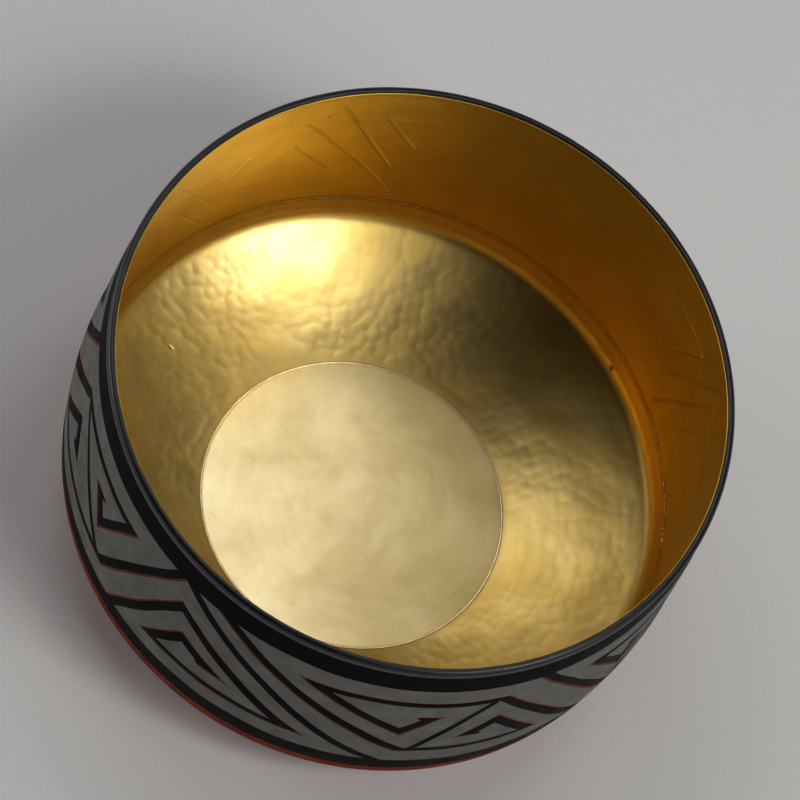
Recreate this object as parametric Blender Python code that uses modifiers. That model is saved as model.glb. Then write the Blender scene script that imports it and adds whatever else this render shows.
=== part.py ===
"""A thin-walled brass bowl with a black and stone-coloured fret border round its outer wall.

The bowl stands on z = 0 with its axis on Z. Heights along the wall are given as depths below the rim.
Turn angles are degrees round the axis from +X towards +Y, so -90 faces -Y.
"""

import math

import bmesh
import bpy
from mathutils import Vector

# Driving dimensions, in metres.
HEIGHT = 0.0840
MOUTH_RADIUS = 0.0730
LIP_WIDTH = 0.0020
LIP_HEIGHT = 0.0024
SHEET = 0.0005
COAT = 0.0005
GAP = 0.0003
FLOOR_RADIUS = 0.0386
FLOOR_DEPTH = 0.0819
FLOOR_THICKNESS = 0.0010
FLOOR_STEP = 0.0003

# The brass wall's inner face: (depth below the rim, radius), joined by a smooth curve.
WALL_CURVE = ((0.0000, 0.0733), (0.0146, 0.0747), (0.0292, 0.0754),
              (0.0438, 0.0762), (0.0584, 0.0755), (0.0700, 0.0740))
SEAM_DEPTH = 0.0607
BEAD_WIDTH = 0.0014
BEAD_HEIGHT = 0.0004
CREASE_DEPTH = 0.0672
CREASE_BEND = 0.0022
DISH_SAG = 0.0012

# The fret border: depths of its levels, and the widths of its lines.
BORDER_TOP = 0.0100
CROWN = 0.0180
HOOK_HIGH = 0.0262
APEX = 0.0312
TIP = 0.0336
HOOK_LOW = 0.0372
BASE = 0.0446
BORDER_FOOT = 0.0538
LINE_WIDTH = 0.0027
FLAT_RADIUS = 0.0770
LINE_RUN_IN = 0.0030
HOOK_REACH = 0.125

SEGMENTS = 48
WALL_STEPS = 5
LIP_STEPS = 6
DISH_STEPS = 3
BEND_STEPS = 4
BEND_SHARE = 0.1
MERGE = 0.00001

# Paired frets, in degrees: lean, turn of the stem at the rim band, stem run, stem gap, crown length,
# foot run, foot gap. A lean of 1 runs down to the right, seen from outside.
PAIRED_FRETS = (
    (1, -98.5, 37.7, 10.2, 33.5, 21.5, 7.0),
    (1, -39.1, 19.3, 7.8, 19.5, 18.5, 6.6),
    (1, -3.0, 17.0, 6.8, 22.0, 13.6, 6.0),
    (1, 33.0, 16.2, 6.2, 21.5, 42.7, 10.5),
    (-1, 167.5, 15.5, 7.0, 19.5, 20.2, 7.4),
    (-1, 203.0, 15.5, 7.4, 18.0, 18.2, 7.0),
    (-1, -109.8, 16.0, 9.0, 26.4, 22.0, 9.0),
)
# Single frets: (turn of the outer tip, direction); a direction of 1 points up and -1 hangs down.
SINGLE_FRETS = ((-106.9, 1), (115.6, -1))
# Plain diagonals: (turn at the rim band, turn at the foot band).
PLAIN_LINES = ((-107.0, -64.0), (72.0, 112.5))


def clear_scene():
    for obj in list(bpy.data.objects):
        bpy.data.objects.remove(obj, do_unlink=True)


def new_collection(name, helpers=False):
    collection = bpy.data.collections.new(name)
    bpy.context.scene.collection.children.link(collection)
    collection.hide_render = helpers
    return collection


def material(name, colour, roughness, metallic):
    made = bpy.data.materials.new(name)
    made.use_nodes = True
    shader = made.node_tree.nodes["Principled BSDF"]
    shader.inputs["Base Color"].default_value = (*colour, 1.0)
    shader.inputs["Roughness"].default_value = roughness
    shader.inputs["Metallic"].default_value = metallic
    return made


def brass():
    return material("brass", (0.72, 0.50, 0.17), 0.28, 1.0)


def solder():
    return material("solder", (0.62, 0.58, 0.48), 0.35, 1.0)


def black_coat():
    return material("black_coat", (0.010, 0.011, 0.013), 0.32, 0.0)


def stone_coat():
    return material("stone_coat", (0.42, 0.40, 0.36), 0.55, 0.0)


def red_coat():
    return material("red_coat", (0.24, 0.055, 0.022), 0.45, 0.0)


def smooth(mesh, angle=35.0):
    mesh.shade_smooth()
    mesh.set_sharp_from_angle(angle=math.radians(angle))


def mesh_object(name, mesh, collection, finish=None):
    obj = bpy.data.objects.new(name, mesh)
    collection.objects.link(obj)
    if finish:
        mesh.materials.append(finish)
    return obj


def evaluated_mesh(obj, name):
    bpy.context.view_layer.update()
    graph = bpy.context.evaluated_depsgraph_get()
    return bpy.data.meshes.new_from_object(obj.evaluated_get(graph), depsgraph=graph).copy()


# ---- the turned profile ----

def wall_radius(depth):
    """Radius of the brass wall's inner face, by Catmull-Rom interpolation of WALL_CURVE."""
    knots = WALL_CURVE
    last = len(knots) - 2
    index = max(0, min(last, sum(depth >= knot[0] for knot in knots) - 1))
    before = knots[max(index - 1, 0)]
    start, end = knots[index], knots[index + 1]
    after = knots[min(index + 2, last + 1)]
    span = end[0] - start[0]
    t = (depth - start[0]) / span
    slope_start = (end[1] - before[1]) / (end[0] - before[0]) * span
    slope_end = (after[1] - start[1]) / (after[0] - start[0]) * span
    return ((2 * t**3 - 3 * t**2 + 1) * start[1] + (t**3 - 2 * t**2 + t) * slope_start
            + (3 * t**2 - 2 * t**3) * end[1] + (t**3 - t**2) * slope_end)


def wall_point(depth, offset=0.0):
    """(radius, height) at a depth, moved out along the wall's normal."""
    step = 0.0005
    slope = (wall_radius(depth + step) - wall_radius(depth - step)) / (2 * step)
    length = math.hypot(1.0, slope)
    return wall_radius(depth) + offset / length, HEIGHT - depth + offset * slope / length


def wall_run(top, bottom, offset, steps=WALL_STEPS):
    return [wall_point(top + (bottom - top) * i / steps, offset) for i in range(steps + 1)]


def dish_run(offset, inner_radius):
    """From the seam down over the crease and in to inner_radius, moved out by offset."""
    crease = Vector(wall_point(CREASE_DEPTH))
    along = Vector((FLOOR_RADIUS, HEIGHT - FLOOR_DEPTH)) - crease
    outward = Vector((-along.y, along.x)).normalized()

    def slope_point(t):
        return crease + along * t + outward * (offset + 4 * DISH_SAG * t * (1 - t))

    points = wall_run(SEAM_DEPTH, CREASE_DEPTH - CREASE_BEND, offset, 1)
    bend_start, bend_end = Vector(points[-1]), slope_point(BEND_SHARE)
    corner = crease + Vector((offset, 0.0))
    for i in range(1, BEND_STEPS):
        t = i / BEND_STEPS
        points.append(tuple((1 - t)**2 * bend_start + 2 * t * (1 - t) * corner + t**2 * bend_end))
    last = (crease.x + outward.x * offset - inner_radius) / -along.x
    for i in range(DISH_STEPS + 1):
        points.append(tuple(slope_point(BEND_SHARE + (last - BEND_SHARE) * i / DISH_STEPS)))
    return points


def turned(name, profile, collection, finish, segments=SEGMENTS):
    """A closed (radius, height) outline, running down its outer side first, swept round Z by a Screw."""
    mesh = bpy.data.meshes.new(name)
    build = bmesh.new()
    verts = [build.verts.new((radius, 0.0, height)) for radius, height in profile]
    on_axis = profile[0][0] < MERGE
    for i in range(len(verts) - 1):
        build.edges.new((verts[i], verts[i + 1]))
    if not on_axis:
        build.edges.new((verts[-1], verts[0]))
    build.to_mesh(mesh)
    build.free()
    obj = mesh_object(name, mesh, collection, finish)
    screw = obj.modifiers.new("Turn", "SCREW")
    screw.axis = "Z"
    screw.angle = math.tau
    screw.steps = segments
    screw.render_steps = segments
    screw.use_merge_vertices = True
    screw.merge_threshold = 0.0001 if on_axis else MERGE
    screw.use_smooth_shade = True
    return obj


# ---- the fret border, drawn flat and then wrapped round the wall ----

def flat(turn, depth):
    return Vector((math.radians(turn) * FLAT_RADIUS, -depth))


def paired_fret(lean, top, stem_run, stem_gap, crown_length, foot_run, foot_gap):
    """Two interlocked hooked triangles: a stem from the rim band, a foot to the foot band and a tie."""
    def stem(depth):
        return top + lean * stem_run * (depth - BORDER_TOP) / (BASE - BORDER_TOP)

    near = stem(CROWN) + lean * stem_gap
    tip = stem(TIP) + lean * stem_gap
    far = near + lean * crown_length
    hook = HOOK_REACH * crown_length

    def foot(depth):
        return far + lean * foot_run * (depth - CROWN) / (BORDER_FOOT - CROWN)

    corner = stem(BASE)
    base_end = foot(BASE) - lean * foot_gap
    apex = foot(APEX) - lean * foot_gap
    stem_line = [flat(stem(BORDER_TOP - LINE_RUN_IN), BORDER_TOP - LINE_RUN_IN), flat(corner, BASE),
                 flat(base_end, BASE), flat(apex, APEX), flat(apex - lean * hook, HOOK_LOW)]
    foot_line = [flat(foot(BORDER_FOOT + LINE_RUN_IN), BORDER_FOOT + LINE_RUN_IN), flat(far, CROWN),
                 flat(near, CROWN), flat(tip, TIP), flat(tip + lean * hook, HOOK_HIGH)]
    tie = [flat(far - lean * 1.2, CROWN), flat(corner + lean * 1.6, BASE)]
    return [stem_line, foot_line, tie]


def single_fret(turn, direction):
    """One hooked triangle, standing on the foot band or, turned half round, hanging from the rim band."""
    middle = (BORDER_TOP + BORDER_FOOT) / 2
    upright = [(-14.5, BORDER_FOOT + LINE_RUN_IN), (0.0, 0.0217), (25.6, 0.0455), (-3.1, 0.0455),
               (2.6, 0.0338), (8.9, 0.0382)]
    if direction > 0:
        return [flat(turn + x, depth) for x, depth in upright]
    return [flat(turn - x, 2 * middle - depth) for x, depth in upright]


def plain_line(top, foot):
    """A straight diagonal from the rim band to the foot band."""
    start, end = flat(top, BORDER_TOP), flat(foot, BORDER_FOOT)
    along = (end - start).normalized() * LINE_RUN_IN
    return [start - along, end + along]


def fret_lines():
    lines = []
    for settings in PAIRED_FRETS:
        lines += paired_fret(*settings)
    lines += [single_fret(*settings) for settings in SINGLE_FRETS]
    lines += [plain_line(*settings) for settings in PLAIN_LINES]
    round_trip = math.tau * FLAT_RADIUS
    wrapped = []
    for line in lines:
        for shift in (-round_trip, 0.0, round_trip):
            moved = [point + Vector((shift, 0.0)) for point in line]
            if any(abs(point.x) < round_trip / 2 + LINE_WIDTH * 3 for point in moved):
                wrapped.append(moved)
    return wrapped


def ribbon_outline(line, width):
    """The mitred outline of a line of this width."""
    half = width / 2
    sides = ([], [])
    for i, point in enumerate(line):
        into = (point - line[i - 1]).normalized() if i else None
        out_of = (line[i + 1] - point).normalized() if i + 1 < len(line) else None
        first, second = into or out_of, out_of or into
        normal = (Vector((-first.y, first.x)) + Vector((-second.y, second.x))).normalized()
        reach = half / max(normal.dot(Vector((-first.y, first.x))), 0.25)
        sides[0].append(point + normal * reach)
        sides[1].append(point - normal * reach)
    return sides[0] + sides[1][::-1]


def flat_plate(name, outline, low, high, collection):
    """A flat outline extruded between two levels, from a filled 2D curve."""
    curve = bpy.data.curves.new(name, "CURVE")
    curve.dimensions = "2D"
    curve.fill_mode = "BOTH"
    curve.extrude = (high - low) / 2
    spline = curve.splines.new("POLY")
    spline.points.add(len(outline) - 1)
    for i, point in enumerate(outline):
        spline.points[i].co = (point.x, point.y, 0.0, 1.0)
    spline.use_cyclic_u = True
    guide = bpy.data.objects.new(name + "_curve", curve)
    collection.objects.link(guide)
    mesh = evaluated_mesh(guide, name)
    bpy.data.objects.remove(guide, do_unlink=True)
    build = bmesh.new()
    build.from_mesh(mesh)
    bmesh.ops.remove_doubles(build, verts=build.verts, dist=MERGE / 10)
    bmesh.ops.dissolve_limit(build, angle_limit=0.001, verts=build.verts, edges=build.edges)
    bmesh.ops.translate(build, verts=build.verts, vec=(0.0, 0.0, (low + high) / 2))
    bmesh.ops.recalc_face_normals(build, faces=build.faces)
    build.to_mesh(mesh)
    build.free()
    plate = mesh_object(name, mesh, collection)
    plate.hide_render = True
    plate.display_type = "WIRE"
    return plate


def border_slab(name, top, foot, low, high, collection):
    half = math.pi * FLAT_RADIUS
    outline = [Vector((-half, -foot)), Vector((half, -foot)), Vector((half, -top)), Vector((-half, -top))]
    return flat_plate(name, outline, low, high, collection)


def cut_with(obj, cutters):
    for cutter in cutters:
        modifier = obj.modifiers.new("Cut", "BOOLEAN")
        modifier.operation = "DIFFERENCE"
        modifier.object = cutter
    return evaluated_mesh(obj, obj.name)


def wrapped_border(mesh, top, foot):
    """Cuts a flat border mesh along a grid, closes it at the back and wraps it round the wall."""
    build = bmesh.new()
    build.from_mesh(mesh)
    half = math.pi * FLAT_RADIUS

    def slice_at(point, normal):
        geometry = build.verts[:] + build.edges[:] + build.faces[:]
        bmesh.ops.bisect_plane(build, geom=geometry, dist=MERGE / 10, plane_co=point, plane_no=normal)

    for i in range(1, SEGMENTS):
        slice_at((half * (2 * i / SEGMENTS - 1), 0.0, 0.0), (1.0, 0.0, 0.0))
    for i in range(1, WALL_STEPS):
        slice_at((0.0, -(top + (foot - top) * i / WALL_STEPS), 0.0), (0.0, 1.0, 0.0))
    ends = [face for face in build.faces if min(abs(vert.co.x) for vert in face.verts) > half - MERGE]
    bmesh.ops.delete(build, geom=ends, context="FACES")
    for vert in build.verts:
        turn = vert.co.x / FLAT_RADIUS
        radius, height = wall_point(-vert.co.y, SHEET + GAP + vert.co.z)
        vert.co = (radius * math.cos(turn), radius * math.sin(turn), height)
    bmesh.ops.remove_doubles(build, verts=build.verts, dist=MERGE)
    bmesh.ops.recalc_face_normals(build, faces=build.faces)
    return build


def islands(build):
    """The separate bodies of a bmesh, as lists of faces."""
    left = set(build.faces)
    found = []
    while left:
        body = {left.pop()}
        edge_of_body = list(body)
        while edge_of_body:
            face = edge_of_body.pop()
            for edge in face.edges:
                for other in edge.link_faces:
                    if other in left:
                        left.remove(other)
                        body.add(other)
                        edge_of_body.append(other)
        found.append(body)
    return found


def part_mesh(build, name, faces):
    """A new mesh from some of a bmesh's faces."""
    copy = build.copy()
    keep = {face.index for face in faces}
    copy.faces.ensure_lookup_table()
    bmesh.ops.delete(copy, geom=[face for face in copy.faces if face.index not in keep], context="FACES")
    mesh = bpy.data.meshes.new(name)
    copy.to_mesh(mesh)
    copy.free()
    smooth(mesh)
    return mesh


def middle_turn(faces):
    total = Vector((0.0, 0.0))
    for face in faces:
        centre = face.calc_center_median()
        total += Vector((centre.x, centre.y)).normalized() * face.calc_area()
    return math.atan2(total.y, total.x)


def make_fret_border(parts, helpers):
    """The black coat with its lines, and the stone-coloured fields between them."""
    lines = fret_lines()
    coat_top = LIP_HEIGHT + GAP
    openings = border_slab("openings", BORDER_TOP, BORDER_FOOT, -COAT, 2 * COAT, helpers)
    narrow = [flat_plate("line_cut", ribbon_outline(line, LINE_WIDTH), -2 * COAT, 3 * COAT, helpers)
              for line in lines]
    open_mesh = cut_with(openings, narrow)
    opening_cutter = mesh_object("opening_cutter", open_mesh, helpers)
    opening_cutter.hide_render = True
    opening_cutter.display_type = "WIRE"
    coat_foot = SEAM_DEPTH - GAP
    coat = border_slab("coat", coat_top, coat_foot, 0.0, COAT, helpers)
    coat_build = wrapped_border(cut_with(coat, [opening_cutter]), coat_top, coat_foot)
    coat_build.faces.index_update()
    fretwork = part_mesh(coat_build, "black_fretwork", coat_build.faces)
    mesh_object("black_fretwork", fretwork, parts, black_coat())
    coat_build.free()

    wide = [flat_plate("field_cut", ribbon_outline(line, LINE_WIDTH + 2 * GAP), -COAT, 2 * COAT, helpers)
            for line in lines]
    fields = border_slab("fields", BORDER_TOP + GAP, BORDER_FOOT - GAP, 0.0, COAT, helpers)
    field_build = wrapped_border(cut_with(fields, wide), coat_top, coat_foot)
    field_build.faces.index_update()
    finish = stone_coat()
    bodies = sorted(islands(field_build), key=middle_turn)
    for number, faces in enumerate(bodies, 1):
        name = f"fret_field_{number:02d}"
        mesh_object(name, part_mesh(field_build, name, faces), parts, finish)
    field_build.free()


# ---- the turned pieces ----

def make_rim_ring(parts):
    """The rounded lip that closes the top of the wall and its coat."""
    half = LIP_WIDTH / 2
    profile = []
    for i in range(LIP_STEPS + 1):
        angle = math.pi * (1 - i / LIP_STEPS)
        profile.append((MOUTH_RADIUS + half + half * math.cos(angle), HEIGHT - half + half * math.sin(angle)))
    profile += [(MOUTH_RADIUS + LIP_WIDTH, HEIGHT - LIP_HEIGHT), (MOUTH_RADIUS, HEIGHT - LIP_HEIGHT)]
    turned("rim_ring", profile, parts, black_coat())


def make_wall(parts):
    top = LIP_HEIGHT + GAP
    outside = wall_run(top, SEAM_DEPTH - GAP, SHEET)
    inside = wall_run(top, SEAM_DEPTH - GAP, 0.0)
    turned("wall_band", outside + inside[::-1], parts, brass())


def make_dish(parts):
    inner = FLOOR_RADIUS + GAP
    outside = dish_run(SHEET, inner)
    inside = dish_run(0.0, inner)
    turned("hammered_dish", outside + inside[::-1], parts, brass())


def make_seam_bead(parts):
    """The bead of solder inside the bowl where the wall meets the dish."""
    top, bottom = (SEAM_DEPTH - GAP / 2 + side * BEAD_WIDTH / 2 for side in (-1, 1))
    back = wall_run(top, bottom, -GAP, 1)
    front = wall_run(top + BEAD_WIDTH / 4, bottom - BEAD_WIDTH / 4, -GAP - BEAD_HEIGHT, 1)
    turned("seam_bead", back + front[::-1], parts, solder())


def make_floor_disc(parts):
    top = HEIGHT - FLOOR_DEPTH + FLOOR_STEP
    bottom = top - FLOOR_THICKNESS
    ease = FLOOR_STEP / 2
    edge = [(FLOOR_RADIUS - ease, top), (FLOOR_RADIUS, top - ease), (FLOOR_RADIUS, bottom)]
    profile = [(0.0, top)] + edge + [(0.0, bottom)]
    turned("floor_disc", profile, parts, brass())


def make_under_coat(parts):
    """The red-brown coat on the outside of the dish, with the flat face that the bowl stands on."""
    inner = FLOOR_RADIUS + GAP
    inside = dish_run(SHEET + GAP, inner)
    outside = dish_run(SHEET + GAP + COAT, inner)
    seat = HEIGHT - FLOOR_DEPTH + FLOOR_STEP - FLOOR_THICKNESS - GAP
    foot = [(inner - COAT, 0.0), (0.0, 0.0), (0.0, seat), (inner - GAP, seat)]
    turned("under_coat", outside + foot + inside[::-1], parts, red_coat())


def main():
    clear_scene()
    parts = new_collection("fret_bowl")
    helpers = new_collection("cutters", helpers=True)
    make_rim_ring(parts)
    make_wall(parts)
    make_seam_bead(parts)
    make_dish(parts)
    make_floor_disc(parts)
    make_under_coat(parts)
    make_fret_border(parts, helpers)


main()
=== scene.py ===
"""The looks of a thin-walled brass bowl with a painted fret border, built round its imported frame.

Metres, +Z up, the bowl's axis on Z. A depth is measured down from the rim and an offset outwards from the
brass wall's inner face. A turn is an angle round the axis from +X towards +Y, so -90 degrees faces -Y.
"""

import math

import bmesh
import bpy
import numpy as np
from mathutils import Matrix, Vector


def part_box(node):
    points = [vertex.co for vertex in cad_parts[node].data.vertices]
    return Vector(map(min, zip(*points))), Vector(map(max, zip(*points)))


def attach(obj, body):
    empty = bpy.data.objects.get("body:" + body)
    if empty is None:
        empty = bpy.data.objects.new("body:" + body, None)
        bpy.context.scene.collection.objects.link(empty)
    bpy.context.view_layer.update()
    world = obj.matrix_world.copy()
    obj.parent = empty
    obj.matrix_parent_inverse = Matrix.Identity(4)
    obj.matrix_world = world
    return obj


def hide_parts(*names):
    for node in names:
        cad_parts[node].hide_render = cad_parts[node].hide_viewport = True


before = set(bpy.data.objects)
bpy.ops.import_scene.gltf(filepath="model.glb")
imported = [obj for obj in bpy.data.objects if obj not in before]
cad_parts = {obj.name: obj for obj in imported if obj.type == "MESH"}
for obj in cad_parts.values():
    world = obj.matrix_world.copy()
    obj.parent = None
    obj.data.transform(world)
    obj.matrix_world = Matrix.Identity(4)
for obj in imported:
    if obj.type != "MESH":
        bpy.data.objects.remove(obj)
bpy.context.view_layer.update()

# Sizes read from the frame.
RIM_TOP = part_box("rim_ring")[1].z
LIP_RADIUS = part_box("rim_ring")[1].x
LIP_DEPTH = RIM_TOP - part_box("rim_ring")[0].z
SEAM_DEPTH = RIM_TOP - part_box("under_coat")[1].z
FLOOR_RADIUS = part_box("floor_disc")[1].x
FLOOR_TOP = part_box("floor_disc")[1].z
FLOOR_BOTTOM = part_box("floor_disc")[0].z

# The wall's inner face, as in the CAD: (depth, radius). The sheet's thickness, and the gap between pieces.
WALL_CURVE = ((0.0000, 0.0733), (0.0146, 0.0747), (0.0292, 0.0754),
              (0.0438, 0.0762), (0.0584, 0.0755), (0.0700, 0.0740))
SHEET = 0.0005
GAP = 0.0003
# The dish: its crease, how far above that the bend starts, how far the slope sags, and its inner edge.
CREASE_DEPTH = 0.0672
CREASE_BEND = 0.0024
DISH_SAG = 0.0012
FLOOR_DEPTH = 0.0819

# The joint under the lip, and how far in from its outside the gold edge and the black paint reach.
LIP_JOINT = 0.0002
GOLD_EDGE = 0.00192
LIP_PAINT = 0.00166
# The coats outside the wall, as offsets: a red ground with the black and stone colours on it.
GROUND = (0.00054, 0.00112)
PAINT = (0.00114, 0.00126)
# The width of a red outline, and of the joint between the colours where there is none.
SCRIBED = 0.00062
HAIRLINE = 0.00004
# The thickness of the coat under the dish, and how near the axis a closed skin's rows come.
UNDER_COAT = 0.0005
AXIS_GAP = 0.0006

# The fret border: the depths of its levels, and the widths of its lines.
BORDER_TOP = 0.0100
CROWN = 0.0180
HOOK_HIGH = 0.0262
APEX = 0.0312
TIP = 0.0336
HOOK_LOW = 0.0372
BASE = 0.0446
BORDER_FOOT = 0.0538
STROKE = 0.0025
THIN_STROKE = 0.0018
# The border is drawn flat, as if unrolled from this radius, and its lines run this far into the bands.
FLAT_RADIUS = 0.0770
LINE_RUN_IN = 0.0030
# How far a hook turns back, as a share of its crown's length, and how far past its last point it is cut off.
HOOK_REACH = 0.125
HOOK_EXTRA = 0.0006
# The small barb at a hook's end: how far back its root lies, and how far it stands out.
BARB_ROOT = 0.0013
BARB_REACH = 0.0020
# How far a tie's ends lie inside the lines that it joins, in degrees.
TIE_INSETS = (1.2, 1.6)
# The grid that the flat border is cut along before it is wrapped, and how far its outlines waver.
BORDER_SLICES = 180
BORDER_ROWS = 16
WAVER = 0.00016
# The ridges inside the wall, the height of a level one as a share of a steep one's, and where they are
# clearest: (turn, width) in degrees.
RIDGE_WIDTH = 0.00070
RIDGE_HEIGHT = 0.00030
LEVEL_SHARE = 0.35
CLEAR_RIDGES = ((131.0, 17.0), (40.0, 14.0))

# Paired frets: lean, 1 or -1, and then in degrees the turn of the stem at the rim band, stem run, stem gap,
# crown length, foot run and foot gap.
PAIRED_FRETS = (
    (1, -98.5, 37.7, 10.2, 33.5, 21.5, 7.0),
    (1, -39.1, 19.3, 7.8, 19.5, 18.5, 6.6),
    (1, -3.0, 17.0, 6.8, 22.0, 13.6, 6.0),
    (1, 33.0, 16.2, 6.2, 21.5, 42.7, 10.5),
    (-1, 167.5, 15.5, 7.0, 19.5, 20.2, 7.4),
    (-1, 203.0, 15.5, 7.4, 18.0, 18.2, 7.0),
    (-1, -109.8, 16.0, 9.0, 26.4, 22.0, 9.0),
)
# Single frets: (turn of the outer tip, 1 standing or -1 hanging).
SINGLE_FRETS = ((-106.9, 1), (115.6, -1))
# Plain diagonals: (turn at the top, turn at the foot).
PLAIN_LINES = ((-107.0, -64.0), (72.0, 112.5))

# Small pits in the brass: (turn, depth, radius).
WALL_PITS = ((133.0, 0.0139, 0.00035), (20.0, 0.0300, 0.00025), (78.0, 0.0480, 0.00025))
DISH_PITS = ((56.7, 0.0664, 0.00045), (171.0, 0.0745, 0.00030))
# The floor disc's colour is darkened towards this turn: painted shade, as if that side were less lit.
PAINTED_SHADE_TURN = math.radians(20.0)
# Sets of scratches: (direction in radians, spacing, length, share). A scratch fades out over its half width.
SCRATCH_SETS = ((0.45, 0.0013, 0.011, 0.02), (1.5, 0.0017, 0.008, 0.018), (2.3, 0.0011, 0.005, 0.015))
SCRATCH_HALF_WIDTH = 0.00008
# How many sine waves make up a ripple or a swell.
WAVES = 14
# How far each light stands from the foot of the bowl.
LIGHT_DISTANCE = 1.20

# Colours that the brasses share, and the dust in the paint. The olive film and dark grime colours also carry
# the floor disc's painted shade, darker on one side as if less lit.
PATINA = (0.60, 0.46, 0.27)
STREAKED = (0.60, 0.43, 0.16)
SCRATCHED = (0.95, 0.86, 0.62)
FILM_AND_SHADE = (0.56, 0.43, 0.17)
DIRT_AND_SHADE = (0.10, 0.060, 0.022)
DUST = (0.45, 0.42, 0.38)


# ---- materials ----

def new_material(name):
    made = bpy.data.materials.new(name)
    made.use_nodes = True
    return made, made.node_tree, made.node_tree.nodes["Principled BSDF"]


def node(tree, kind, inputs=None, **settings):
    """A shader node with its inputs set to values or linked to sockets."""
    made = tree.nodes.new(kind)
    for name, value in settings.items():
        setattr(made, name, value)
    for key, value in (inputs or {}).items():
        if isinstance(value, bpy.types.NodeSocket):
            tree.links.new(value, made.inputs[key])
        else:
            made.inputs[key].default_value = value
    return made


def maths(tree, operation, first, second=0.5):
    return node(tree, "ShaderNodeMath", {0: first, 1: second}, operation=operation).outputs[0]


def remap(tree, value, low, high, to_low=0.0, to_high=1.0):
    """A value's place between low and high, moved to the same place between to_low and to_high."""
    settings = {"Value": value, "From Min": low, "From Max": high, "To Min": to_low, "To Max": to_high}
    return node(tree, "ShaderNodeMapRange", settings, clamp=True).outputs["Result"]


def mix(tree, factor, first, second):
    """The first colour at a factor of 0 and the second at 1."""
    made = node(tree, "ShaderNodeMix", data_type="RGBA", blend_type="MIX")
    for socket, value in ((made.inputs[0], factor), (made.inputs[6], first), (made.inputs[7], second)):
        if isinstance(value, bpy.types.NodeSocket):
            tree.links.new(value, socket)
        else:
            socket.default_value = value if isinstance(value, float) else (*value, 1.0)
    return made.outputs[2]


def noise(tree, vector, scale, detail, roughness, distortion=0.0):
    settings = {"Vector": vector, "Scale": scale, "Detail": detail, "Roughness": roughness,
                "Distortion": distortion}
    return node(tree, "ShaderNodeTexNoise", settings).outputs["Fac"]


def bump(tree, height, distance, strength):
    inputs = {"Height": height, "Distance": distance, "Strength": strength}
    return node(tree, "ShaderNodeBump", inputs).outputs["Normal"]


def place(tree):
    """The shaded point's position, in metres."""
    return node(tree, "ShaderNodeTexCoord").outputs["Object"]


def turned_coordinates(tree, across, around):
    """Coordinates stretched along the circles round Z: (radius and height x across, direction x around)."""
    split = node(tree, "ShaderNodeSeparateXYZ", {0: place(tree)})
    x, y, z = split.outputs
    squares = maths(tree, "ADD", maths(tree, "MULTIPLY", x, x), maths(tree, "MULTIPLY", y, y))
    radius = maths(tree, "SQRT", squares)
    lane = maths(tree, "MULTIPLY", maths(tree, "ADD", radius, z), across)
    safe = maths(tree, "MAXIMUM", radius, 0.001)
    parts = {0: lane, 1: maths(tree, "MULTIPLY", maths(tree, "DIVIDE", x, safe), around),
             2: maths(tree, "MULTIPLY", maths(tree, "DIVIDE", y, safe), around)}
    return node(tree, "ShaderNodeCombineXYZ", parts).outputs[0]


def scratches(tree, direction, spacing, length, share):
    """Straight scratches in lanes across a flat or sloping face: 1 on a scratch and 0 elsewhere. Share is how
    much of each lane is scratched."""
    turned = node(tree, "ShaderNodeMapping", {"Vector": place(tree), "Rotation": (0.0, 0.0, direction)})
    across, along = node(tree, "ShaderNodeSeparateXYZ", {0: turned.outputs[0]}).outputs[:2]
    lane = maths(tree, "DIVIDE", across, spacing)
    lane_number = maths(tree, "FLOOR", lane)
    shift = node(tree, "ShaderNodeTexWhiteNoise", {"W": lane_number}, noise_dimensions="1D").outputs["Value"]
    run = maths(tree, "ADD", maths(tree, "DIVIDE", along, length), maths(tree, "MULTIPLY", shift, 17.0))
    cell = node(tree, "ShaderNodeCombineXYZ", {0: lane_number, 1: maths(tree, "FLOOR", run)}).outputs[0]
    chance = node(tree, "ShaderNodeTexWhiteNoise", {"Vector": cell}, noise_dimensions="2D").outputs["Value"]
    off_line = maths(tree, "ABSOLUTE", maths(tree, "SUBTRACT", maths(tree, "FRACT", lane), 0.5))
    off_middle = maths(tree, "ABSOLUTE", maths(tree, "SUBTRACT", maths(tree, "FRACT", run), 0.5))
    line = maths(tree, "MULTIPLY", remap(tree, off_line, 0.0, SCRATCH_HALF_WIDTH / spacing, 1.0, 0.0),
                 remap(tree, off_middle, 0.20, 0.48, 1.0, 0.0))
    return maths(tree, "MULTIPLY", line, maths(tree, "LESS_THAN", chance, share))


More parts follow.
